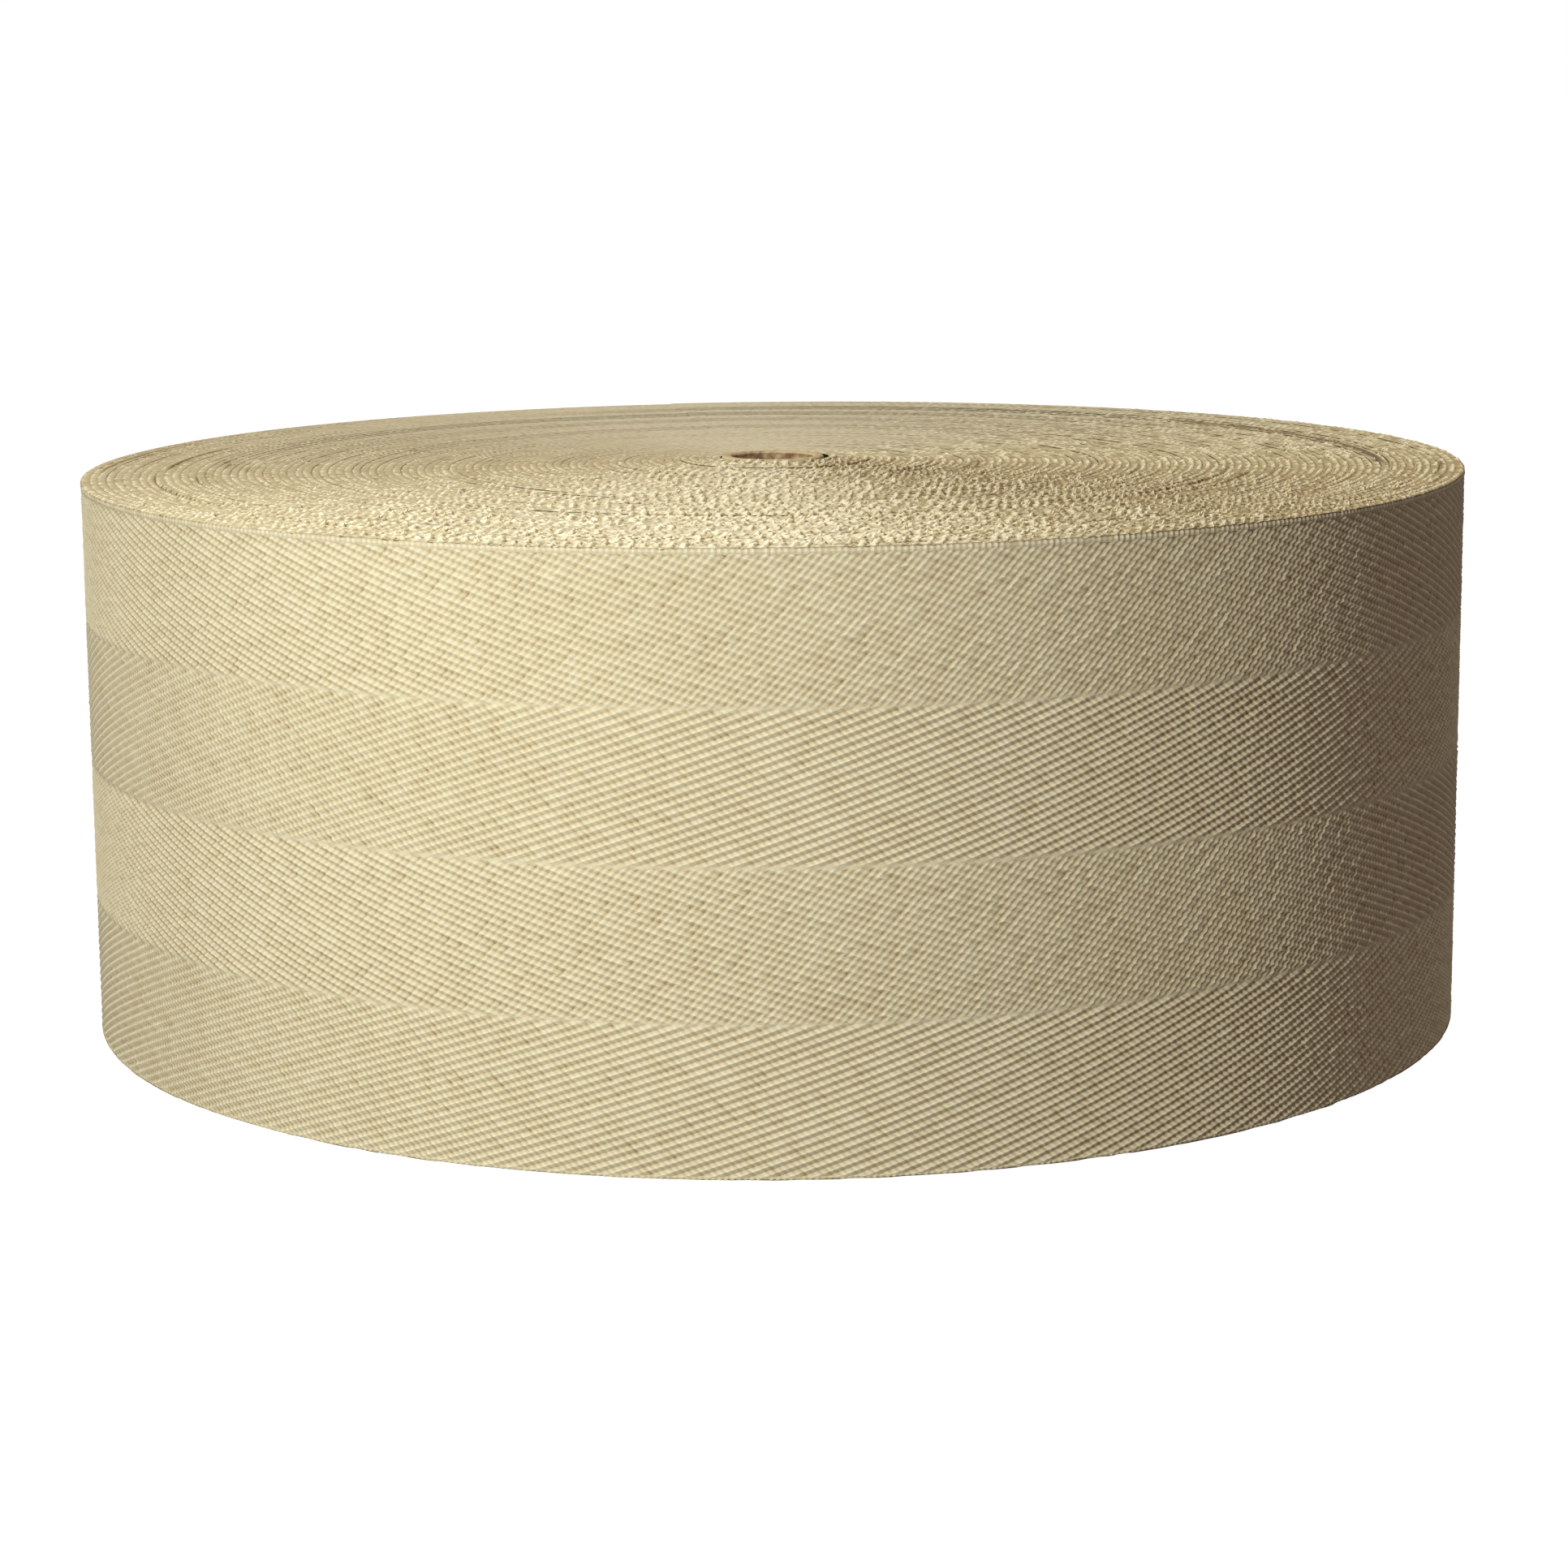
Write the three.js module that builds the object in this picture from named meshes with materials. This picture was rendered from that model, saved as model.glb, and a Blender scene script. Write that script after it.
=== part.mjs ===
// Roll of carpet binding tape: one long herringbone tape wound flat round a slim paper tube.
// Millimetres, +Z up. The roll's axis is Z, and it stands on its flat side at Z = 0.
// Angles are in degrees, anticlockwise from +X as seen from above.
import * as THREE from "three";

const TAPE_WIDTH = 50;
const TURN_PITCH = 0.73; // one wound thickness of the tape
const OUTER_RADIUS = 63.1; // to the outside of the last turn, at its cut end
const EDGE_ROUND = 0.3; // how far the outermost edge is rounded off

const TUBE_RADIUS = 4.7;
const TUBE_WALL = 0.95;
const TUBE_LENGTH = 50.4;
const TUBE_RISE = 0.4; // the tube is pushed up a little with the turns round it
const FIT_GAP = 0.3; // between the tube and the first turn

const END_ANGLE = 100; // where the cut end lies, round the far side
const END_RAMP = 0.15; // width of the cut end's face, along the wall
const STEP_WIDTH = 0.2; // how wide the slope is between two groups of turns

const ROLL_COLUMNS = 144;
const TUBE_COLUMNS = 48;

// Groups of turns that sit at one height, from the tube outwards.
// "to" is a group's outer limit as a share of OUTER_RADIUS. "lift" raises the group, and "sway" tilts
// it by as much again, highest towards the angle "towards".
const topGroups = [
  { name: "turns on the tube", to: 0.115, lift: 0.62, sway: 0, towards: 0 },
  { name: "top of the crown", to: 0.17, lift: 0.46, sway: 0.03, towards: 200 },
  { name: "side of the crown", to: 0.25, lift: 0.3, sway: 0.03, towards: 140 },
  { name: "foot of the crown", to: 0.36, lift: 0.16, sway: 0.04, towards: 100 },
  { name: "first slack turns", to: 0.48, lift: 0.04, sway: 0.05, towards: 300 },
  { name: "low middle turns", to: 0.6, lift: -0.08, sway: 0.05, towards: 240 },
  { name: "high middle turns", to: 0.71, lift: 0.06, sway: 0.06, towards: 60 },
  { name: "slack outer turns", to: 0.8, lift: -0.06, sway: 0.06, towards: 150 },
  { name: "turns inside the step", to: 0.884, lift: -0.12, sway: 0.08, towards: 230 },
  { name: "proud outer turns", to: 1, lift: 0.16, sway: 0.26, towards: 50 },
];
const bottomGroups = [
  { name: "turns on the tube", to: 0.115, lift: 0.5, sway: 0, towards: 0 },
  { name: "hollow under the crown", to: 0.17, lift: 0.34, sway: 0, towards: 0 },
  { name: "edge of the hollow", to: 0.25, lift: 0.16, sway: 0, towards: 0 },
  { name: "flat run on the surface", to: 0.884, lift: 0, sway: 0, towards: 0 },
  { name: "proud outer turns", to: 1, lift: 0.2, sway: 0.2, towards: 50 },
];

const radians = (degrees) => THREE.MathUtils.degToRad(degrees);

// Share of the last turn wound at an angle: 0 just past the cut end, 1 at the cut end.
const lastTurnShare = (angle) => THREE.MathUtils.euclideanModulo(angle - END_ANGLE, 360) / 360;

const spiralRadius = (share) => OUTER_RADIUS - TURN_PITCH * (1 - share);

// The turns lie tighter on the side where the spiral is widest, so the roll is centred on its tube.
const drift = {
  x: (spiralRadius(lastTurnShare(0)) - spiralRadius(lastTurnShare(180))) / 2,
  y: (spiralRadius(lastTurnShare(90)) - spiralRadius(lastTurnShare(270))) / 2,
};

function wallRadius(angle, share) {
  const tightened = drift.x * Math.cos(radians(angle)) + drift.y * Math.sin(radians(angle));
  return spiralRadius(share) - tightened;
}

function groupHeight(group, angle) {
  return group.lift + group.sway * Math.cos(radians(angle - group.towards));
}

// The two rings of each group, as functions that place a point at an angle, from the tube outwards.
function faceRings(groups, faceHeight) {
  const rings = [];
  let from = TUBE_RADIUS + FIT_GAP;
  groups.forEach((group, index) => {
    const inner = from + (index > 0 ? STEP_WIDTH / 2 : 0);
    const outer = group.to * OUTER_RADIUS - STEP_WIDTH / 2;
    const isLast = index === groups.length - 1;
    const height = (angle) => faceHeight + groupHeight(group, angle);
    rings.push((angle) => ({ radius: inner, height: height(angle) }));
    rings.push((angle, share) => ({
      radius: isLast ? wallRadius(angle, share) - EDGE_ROUND : outer,
      height: height(angle),
    }));
    from = group.to * OUTER_RADIUS;
  });
  return rings;
}

// One end of the outer wall, just inside the rounded edge of the given face.
function wallRing(groups, faceHeight, inset) {
  const outermost = groups.at(-1);
  return (angle, share) => ({
    radius: wallRadius(angle, share),
    height: faceHeight + groupHeight(outermost, angle) + inset,
  });
}

// A closed ring-shaped skin: the section's points at every column, joined to the next column's.
function closedRing(section, columns) {
  const positions = [];
  const indices = [];
  columns.forEach(({ angle, share }) => {
    section.forEach((place) => {
      const { radius, height } = place(angle, share);
      positions.push(radius * Math.cos(radians(angle)), radius * Math.sin(radians(angle)), height);
    });
  });
  const rows = section.length;
  columns.forEach((_, column) => {
    const nextColumn = (column + 1) % columns.length;
    for (let row = 0; row < rows; row += 1) {
      const nextRow = (row + 1) % rows;
      const a = column * rows + row;
      const b = nextColumn * rows + row;
      const c = nextColumn * rows + nextRow;
      const d = column * rows + nextRow;
      indices.push(a, b, c, a, c, d);
    }
  });
  const geometry = new THREE.BufferGeometry();
  geometry.setAttribute("position", new THREE.Float32BufferAttribute(positions, 3));
  geometry.setIndex(indices);
  geometry.computeVertexNormals();
  return geometry;
}

function woundTape() {
  const section = [
    ...faceRings(bottomGroups, 0),
    wallRing(bottomGroups, 0, EDGE_ROUND),
    wallRing(topGroups, TAPE_WIDTH, -EDGE_ROUND),
    ...faceRings(topGroups, TAPE_WIDTH).reverse(),
  ];
  const rampAngle = THREE.MathUtils.radToDeg(END_RAMP / OUTER_RADIUS);
  const lastColumn = ROLL_COLUMNS - 1;
  const columns = Array.from({ length: ROLL_COLUMNS }, (_, column) => ({
    angle: END_ANGLE + (column / lastColumn) * (360 - rampAngle),
    share: column / lastColumn,
  }));
  const tape = new THREE.MeshStandardMaterial({ color: "#d5cba2", roughness: 0.92, metalness: 0 });
  const mesh = new THREE.Mesh(closedRing(section, columns), tape);
  mesh.name = "wound_tape";
  return mesh;
}

function coreTube() {
  const inner = TUBE_RADIUS - TUBE_WALL;
  const profile = [
    new THREE.Vector2(inner, 0),
    new THREE.Vector2(TUBE_RADIUS, 0),
    new THREE.Vector2(TUBE_RADIUS, TUBE_LENGTH),
    new THREE.Vector2(inner, TUBE_LENGTH),
    new THREE.Vector2(inner, 0),
  ];
  const board = new THREE.MeshStandardMaterial({ color: "#c4ae82", roughness: 0.85, metalness: 0 });
  const mesh = new THREE.Mesh(new THREE.LatheGeometry(profile, TUBE_COLUMNS), board);
  mesh.name = "core_tube";
  mesh.rotation.x = Math.PI / 2;
  mesh.position.z = TUBE_RISE;
  return mesh;
}

const roll = new THREE.Group();
roll.add(woundTape(), coreTube());

export default roll;
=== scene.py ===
# %% [markdown]
# A roll of carpet binding tape stands on its flat side on a pale floor. The real thing is one long
# cotton tape, 50 mm wide, woven in a four-striped herringbone and wound flat round a slim paper tube.
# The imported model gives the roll's box and its tube. Here each of them gets its real surface: the
# woven stripes of the last turn, the edges of all the turns on both faces, and the tube's paper.

import math

import bmesh
import bpy
import numpy as np
from mathutils import Euler, Matrix, Vector


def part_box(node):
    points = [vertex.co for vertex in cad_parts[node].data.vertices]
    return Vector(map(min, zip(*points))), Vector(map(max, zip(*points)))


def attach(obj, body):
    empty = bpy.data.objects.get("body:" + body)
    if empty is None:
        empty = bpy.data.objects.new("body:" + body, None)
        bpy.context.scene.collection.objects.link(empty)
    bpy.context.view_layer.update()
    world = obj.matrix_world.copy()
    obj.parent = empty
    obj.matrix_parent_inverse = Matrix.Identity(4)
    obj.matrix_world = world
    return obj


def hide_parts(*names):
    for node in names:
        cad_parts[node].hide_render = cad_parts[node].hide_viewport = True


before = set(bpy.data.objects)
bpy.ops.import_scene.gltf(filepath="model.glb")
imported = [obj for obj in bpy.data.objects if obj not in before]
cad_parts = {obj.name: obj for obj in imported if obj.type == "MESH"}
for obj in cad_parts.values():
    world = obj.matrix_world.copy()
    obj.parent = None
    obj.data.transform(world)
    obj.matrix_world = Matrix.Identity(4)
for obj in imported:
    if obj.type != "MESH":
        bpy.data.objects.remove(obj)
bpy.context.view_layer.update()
roll_low, roll_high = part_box("wound_tape")
tube_low, tube_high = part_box("core_tube")
print("the roll is", [round(side * 1000, 2) for side in roll_high - roll_low], "mm")

# %% [markdown]
# The flat work, such as weaving and laying out a turn, is done in millimetres, because a thread is
# only half a millimetre wide. The last step of each piece turns it to metres.
#
# The winding is a spiral, so the last turn steps out at the cut end, at the back of the roll. A small
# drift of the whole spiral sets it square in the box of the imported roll.

# %% Sizes of the tape and its winding
MM = 0.001
TAPE_WIDTH = 50.0
TURN_PITCH = 0.73
END_ANGLE = 100.0
DRIFT_SHARE = 0.25


def share_of_turn(angle):
    """How much of the last turn is wound at an angle in degrees: 0 just past the cut end, 1 at it."""
    return np.mod(angle - END_ANGLE, 360.0) / 360.0


drift = TURN_PITCH * DRIFT_SHARE
half_side = (roll_high.x - roll_low.x) / 2 / MM
OUTER_RADIUS = half_side + TURN_PITCH * (1 - share_of_turn(0.0)) + drift
TUBE_RADIUS = (tube_high.x - tube_low.x) / 2 / MM
print("outer radius", round(OUTER_RADIUS, 2), "tube radius", round(TUBE_RADIUS, 2))

# %% [markdown]
# The camera comes first, so that every later choice can be looked at. Its place was worked out from
# the outline of the roll: 5.64 radii away, 1.37 radii above the floor, tilted down by ten and a half
# degrees. The picture is level to half a degree, so the camera is rolled by that much.

# %% Place the camera
ROLL_RADIUS = 0.0628
CAMERA_DISTANCE = 5.6388 * ROLL_RADIUS
CAMERA_HEIGHT = 1.365 * ROLL_RADIUS
CAMERA_TILT = 10.516
CAMERA_TURN = -0.132
CAMERA_ROLL = -0.416
LENS = 88.44
NEAR_LIMIT = 0.01

camera = bpy.data.objects.new("camera", bpy.data.cameras.new("camera"))
bpy.context.scene.collection.objects.link(camera)
bpy.context.scene.camera = camera
camera.data.lens = LENS
camera.data.clip_start = NEAR_LIMIT
look = Euler((math.radians(90 - CAMERA_TILT), 0, math.radians(CAMERA_TURN))).to_matrix()
look = look @ Matrix.Rotation(math.radians(CAMERA_ROLL), 3, "Z")
camera.matrix_world = Matrix.LocRotScale(Vector((0, -CAMERA_DISTANCE, CAMERA_HEIGHT)), look, None)
print("the camera stands", round(CAMERA_DISTANCE, 3), "m away")

# %% [markdown]
# Three lamps and an even glow light the roll. The key lamp is a small disk close by at the front
# left, so the wall is brightest there and grows darker towards the right. A soft sun lamp shines
# almost straight down on the top face, and a low one from behind warms the left side. A sun lamp is
# the simplest soft lamp: it lights the floor evenly however far it reaches, so the floor meets the
# background without a line. The glow, called the fill, comes from all round.

# %% Light the scene
KEY_SIDE = -24.8
KEY_DISTANCE = 4.0 * ROLL_RADIUS
KEY_HEIGHT = 0.10
KEY_SIZE = 0.03
KEY_POWER = 0.42
TOP_SIDE = -20.0
TOP_HEIGHT = 84.0
TOP_SOFTNESS = 30.0
TOP_POWER = 1.0
LEFT_SIDE = -145.0
LEFT_HEIGHT = 28.0
LEFT_SOFTNESS = 8.0
LEFT_POWER = 1.1
WARM = (1.0, 0.93, 0.77)
FILL = (0.165, 0.130, 0.130)
BACKDROP = 1.0


def add_lamp(name, kind, power):
    """A lamp of one of Blender's kinds, linked to the scene."""
    lamp = bpy.data.objects.new(name, bpy.data.lights.new(name, kind))
    bpy.context.scene.collection.objects.link(lamp)
    lamp.data.energy = power
    return lamp


def sun_lamp(name, side, height, softness, power):
    """A warm soft lamp far away. Side is counted from the camera, to the right, in degrees."""
    lamp = add_lamp(name, "SUN", power)
    lamp.data.color = WARM
    lamp.data.angle = math.radians(softness)
    lamp.rotation_euler = (math.radians(90 - height), 0, math.radians(side))


key_lamp = add_lamp("key_lamp", "AREA", KEY_POWER)
key_lamp.visible_camera = False
key_lamp.data.shape = "DISK"
key_lamp.data.size = KEY_SIZE
side = math.radians(KEY_SIDE)
stand = Vector((math.sin(side) * KEY_DISTANCE, -math.cos(side) * KEY_DISTANCE, KEY_HEIGHT))
aim = (stand - Vector((0, 0, TAPE_WIDTH / 2 * MM))).to_track_quat("Z", "Y")
key_lamp.matrix_world = Matrix.LocRotScale(stand, aim, None)

sun_lamp("top_lamp", TOP_SIDE, TOP_HEIGHT, TOP_SOFTNESS, TOP_POWER)
sun_lamp("left_lamp", LEFT_SIDE, LEFT_HEIGHT, LEFT_SOFTNESS, LEFT_POWER)
print("the key lamp stands", round((stand.xy.length - ROLL_RADIUS) * 1000), "mm from the wall")
bpy.context.scene.view_settings.view_transform = "Standard"

# %% [markdown]
# Shader maths reads best as plain arithmetic. Value wraps one number socket, and adding, taking away
# or multiplying values makes the Math nodes. Finish holds one material and makes any other node.
# Patterns on the tape follow its own map, laid out in millimetres along and across the tape.

# %% A small helper for materials
TAPE_MAP = "tape"


class Value:
    """One number in a material. Arithmetic on it adds Math nodes."""

    def __init__(self, finish, socket):
        self.finish = finish
        self.socket = socket

    def math(self, operation, *others):
        return self.finish.math(operation, self, *others)

    def __add__(self, other):
        return self.math("ADD", other)

    def __sub__(self, other):
        return self.math("SUBTRACT", other)

    def __rsub__(self, other):
        return self.finish.math("SUBTRACT", other, self)

    def __mul__(self, other):
        return self.math("MULTIPLY", other)

    __radd__ = __add__
    __rmul__ = __mul__


class Finish:
    """A material whose nodes are made one at a time, each with its settings and its inputs."""

    def __init__(self, name):
        self.material = bpy.data.materials.new(name)
        self.material.use_nodes = True
        self.tree = self.material.node_tree
        self.tree.nodes.clear()

    def node(self, kind, settings=None, inputs=None):
        node = self.tree.nodes.new(kind)
        for name, value in (settings or {}).items():
            setattr(node, name, value)
        for name, value in (inputs or {}).items():
            if isinstance(value, Value):
                value = value.socket
            if isinstance(value, bpy.types.NodeSocket):
                self.tree.links.new(value, node.inputs[name])
            else:
                node.inputs[name].default_value = value
        return node

    def math(self, operation, *values):
        inputs = dict(enumerate(values))
        return Value(self, self.node("ShaderNodeMath", {"operation": operation}, inputs).outputs[0])

    def attribute(self, name):
        return Value(self, self.node("ShaderNodeAttribute", {"attribute_name": name}).outputs["Fac"])

    def place(self, turn=0.0, scale=(1.0, 1.0, 1.0)):
        """The tape map in millimetres, turned in its plane and then stretched."""
        tape = self.node("ShaderNodeUVMap", {"uv_map": TAPE_MAP}).outputs["UV"]
        turned = self.node(
            "ShaderNodeMapping", {"vector_type": "POINT"}, {"Vector": tape, "Rotation": (0, 0, turn)}
        )
        return self.node(
            "ShaderNodeVectorMath", {"operation": "MULTIPLY"}, {0: turned.outputs[0], 1: scale}
        ).outputs[0]

    def noise(self, where, scale, detail=2.0, roughness=0.5):
        inputs = {"Vector": where, "Scale": scale, "Detail": detail, "Roughness": roughness}
        return Value(self, self.node("ShaderNodeTexNoise", {}, inputs).outputs["Fac"])

    def ramp(self, value, stops):
        """Colours at places from 0 to 1, with smooth steps between them."""
        node = self.node("ShaderNodeValToRGB", {}, {"Fac": value})
        elements = node.color_ramp.elements
        while len(elements) < len(stops):
            elements.new(0.5)
        for element, (place, colour) in zip(elements, stops):
            element.position = place
            element.color = (*colour, 1)
        return node.outputs["Color"]

    def bump(self, height, strength, distance):
        inputs = {"Height": height, "Strength": strength, "Distance": distance}
        return self.node("ShaderNodeBump", {}, inputs).outputs["Normal"]

    def surface(self, inputs):
        shader = self.node("ShaderNodeBsdfPrincipled", {}, inputs)
        output = self.node("ShaderNodeOutputMaterial")
        self.tree.links.new(shader.outputs[0], output.inputs["Surface"])
        return self.material


# %% [markdown]
# The floor is one large pale sheet, and the background has the same pale tone. The camera sees the
# floor glow by itself, so that it stays pale in the roll's shadow. The light that reaches the roll
# meets the weak fill instead, on the floor and the background alike, which keeps the right side of
# the roll dark. A Light Path node tells the camera's rays from the others.


# %% Make the floor and the background
def pale_shader(tree, is_floor):
    """Bright for the camera, and dim for the light that reaches the roll."""
    path = tree.nodes.new("ShaderNodeLightPath")
    mix = tree.nodes.new("ShaderNodeMixShader")
    tree.links.new(path.outputs["Is Camera Ray"], mix.inputs[0])
    dim = tree.nodes.new("ShaderNodeBackground" if not is_floor else "ShaderNodeEmission")
    dim.inputs["Color"].default_value = (*FILL, 1)
    tree.links.new(dim.outputs[0], mix.inputs[1])
    return mix


world = bpy.data.worlds.new("studio")
world.use_nodes = True
world.node_tree.nodes.clear()
bpy.context.scene.world = world
sky = pale_shader(world.node_tree, is_floor=False)
bright = world.node_tree.nodes.new("ShaderNodeBackground")
bright.inputs["Color"].default_value = (BACKDROP, BACKDROP, BACKDROP, 1)
world.node_tree.links.new(bright.outputs[0], sky.inputs[2])
world_out = world.node_tree.nodes.new("ShaderNodeOutputWorld")
world.node_tree.links.new(sky.outputs[0], world_out.inputs["Surface"])

FLOOR_SIZE = 20.0
FLOOR_GLOW = 0.97
FLOOR_PAINT = 0.22
floor_finish = Finish("pale_floor")
ground = pale_shader(floor_finish.tree, is_floor=True)
paint = floor_finish.node("ShaderNodeBsdfDiffuse", {}, {"Color": (FLOOR_PAINT,) * 3 + (1,)})
glow = floor_finish.node("ShaderNodeEmission", {}, {"Strength": FLOOR_GLOW})
both = floor_finish.node("ShaderNodeAddShader", {}, {0: paint.outputs[0], 1: glow.outputs[0]})
floor_finish.tree.links.new(both.outputs[0], ground.inputs[2])
floor_finish.node("ShaderNodeOutputMaterial", {}, {"Surface": ground.outputs[0]})


def mesh_from(bm, name):
    """A finished mesh from a bmesh, which is freed."""
    mesh = bpy.data.meshes.new(name)
    bm.to_mesh(mesh)
    bm.free()
    return mesh


sheet = bmesh.new()
bmesh.ops.create_grid(sheet, x_segments=1, y_segments=1, size=FLOOR_SIZE / 2)
floor_mesh = mesh_from(sheet, "floor")
floor = bpy.data.objects.new("floor", floor_mesh)
floor_mesh.materials.append(floor_finish.material)
bpy.context.scene.collection.objects.link(floor)

# %% [markdown]
# The weave is a twill: each weft thread, called a pick, passes over two warp threads and under two,
# and the next pick does so one warp thread higher. That makes slanted ribs, each a row of small
# tilted ovals. Four stripes with the slant turned over in each make the herringbone. The weft leans
# a little along the tape, and every second stripe starts half a rib further on.

# %% Sizes of the weave
PICK = 0.509
RIB_THREADS = 4
RIB_STEP = RIB_THREADS * PICK
RIB_RISE = 0.698
LEAN = -0.078
TOP_SELVEDGE = 0.5
BOTTOM_SELVEDGE = 0.2
STRIPES = 4
STRIPE_HEIGHT = TAPE_WIDTH / STRIPES
LAST_TURN = 2 * math.pi * (OUTER_RADIUS - TURN_PITCH / 2)
OVAL_SLANT = 3.0
POINTS_ACROSS_RIB = 2
POINTS_PER_PICK = 2
print("a rib rises", round(math.degrees(math.atan2(RIB_RISE, RIB_STEP)), 1), "degrees")


def flat_point(rib, thread, lean):
    """Where a count of ribs and of threads along the rib lies on the flat tape."""
    up = RIB_RISE * thread / RIB_THREADS
    return Vector((RIB_STEP * (rib + thread / RIB_THREADS) + lean * up, up))


# %% [markdown]
# Modelled thread by thread, a turn would need millions of faces. Instead one small block of the
# stripe is a slanted grid whose lines run along the ribs and along the ovals, so that two points a
# thread are enough: one lands on its crest and one in its notch. An Array modifier repeats the block
# along the tape, and two cuts square off its ends.

# %% Weave one block and repeat it along the tape
BLOCK_RIBS = 4
SPARE_BLOCKS = 2
MERGE_GAP = PICK / 50


def cut(bm, point, normal):
    """Cuts off everything on the side of a plane that its normal points to."""
    geometry = bm.verts[:] + bm.edges[:] + bm.faces[:]
    bmesh.ops.bisect_plane(bm, geom=geometry, plane_co=point, plane_no=normal, clear_outer=True)


def block_of_weave(start, lean):
    """A slanted grid a few ribs wide, as high as the stripe from its lower limit up."""
    along_rib = flat_point(0, 1 / POINTS_PER_PICK, lean)
    along_oval = flat_point(1 / POINTS_ACROSS_RIB, -OVAL_SLANT / POINTS_ACROSS_RIB, lean)
    columns = BLOCK_RIBS * POINTS_ACROSS_RIB
    drop = -columns * along_oval.y
    rows = math.ceil((STRIPE_HEIGHT + drop) / along_rib.y) + 1
    bm = bmesh.new()
    bmesh.ops.create_grid(bm, x_segments=columns, y_segments=rows, size=0.5)
    slant = Matrix.Identity(4)
    slant.col[0][:2] = along_oval * columns
    slant.col[1][:2] = along_rib * rows
    slant.col[3][:2] = along_oval * columns / 2 + along_rib * rows / 2
    bmesh.ops.transform(bm, matrix=slant, verts=bm.verts)
    cut(bm, (0, start, 0), (0, -1, 0))
    cut(bm, (0, STRIPE_HEIGHT, 0), (0, 1, 0))
    return bm


def flat_stripe(start, lean, shift):
    """The whole flat stripe of the last turn, from a height up, shifted along and cut square."""
    block = bpy.data.objects.new("block", mesh_from(block_of_weave(start, lean), "block"))
    bpy.context.scene.collection.objects.link(block)
    slant_length = STRIPE_HEIGHT / RIB_RISE * RIB_STEP
    block_length = BLOCK_RIBS * RIB_STEP
    repeat = block.modifiers.new("repeat", "ARRAY")
    repeat.use_relative_offset = False
    repeat.use_constant_offset = True
    repeat.constant_offset_displace = (block_length, 0, 0)
    repeat.count = math.ceil((LAST_TURN + slant_length) / block_length) + SPARE_BLOCKS
    repeat.use_merge_vertices = True
    repeat.merge_threshold = MERGE_GAP
    bm = bmesh.new()
    bm.from_object(block, bpy.context.evaluated_depsgraph_get())
    bpy.data.objects.remove(block)
    blocks_back = math.ceil(slant_length / block_length) + SPARE_BLOCKS // 2
    bmesh.ops.translate(bm, vec=(-blocks_back * block_length - shift, 0, 0), verts=bm.verts)
    cut(bm, (0, 0, 0), (-1, 0, 0))
    cut(bm, (LAST_TURN, 0, 0), (1, 0, 0))
    return mesh_from(bm, "flat_stripe")


starts = [BOTTOM_SELVEDGE, 0.0, 0.0, TOP_SELVEDGE]
leans = [LEAN, -LEAN, LEAN, -LEAN]
shifts = [0.0, 2 * LEAN * STRIPE_HEIGHT, 2 * LEAN * STRIPE_HEIGHT, 4 * LEAN * STRIPE_HEIGHT]
shifts = [RIB_STEP / 2 * (number % 2) - shift for number, shift in enumerate(shifts)]
flat_stripes = [flat_stripe(*each) for each in zip(starts, leans, shifts)]
print("one flat stripe has", len(flat_stripes[1].polygons), "faces")

# %% [markdown]
# The height of the weave at a point follows from two counts: how many ribs it lies along the tape,
# and how many threads it lies up its rib. Across a rib the height is a rounded ridge with a sharp
# groove, and along it each thread adds an oval with a notch before the next. No two threads of a
# soft cotton tape are alike, so a little seeded unevenness is added to each. The same counts give
# a tone that the finish reads as its colour: painted shade in the grooves, painted light on the
# ridges and crests, and each thread's own unevenness.

# %% Work out the relief of the weave and its painted shading
RIB_DEPTH = 0.16
OVAL_DEPTH = 0.07
BUMP_DEPTH = 0.02
SEAM_WIDTH = 0.3
GROOVE_PAINTED_SHADE = 0.18
RIDGE_PAINTED_LIGHT = 0.3
OVAL_PAINTED_LIGHT = 0.42
CREST_PAINTED_HIGHLIGHT = 0.1
BUMP_TONE = 0.08
SEAM_TONE = 0.6
TABLE_SIZE = 256
random = np.random.default_rng(7)
THREAD_TABLE = random.normal(0, 1, (TABLE_SIZE, TABLE_SIZE))


def unevenness(first, second):
    """A fixed random number for each pair of whole numbers."""
    row = np.floor(first).astype(int) % TABLE_SIZE
    column = np.floor(second).astype(int) % TABLE_SIZE
    return THREAD_TABLE[row, column]


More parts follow.
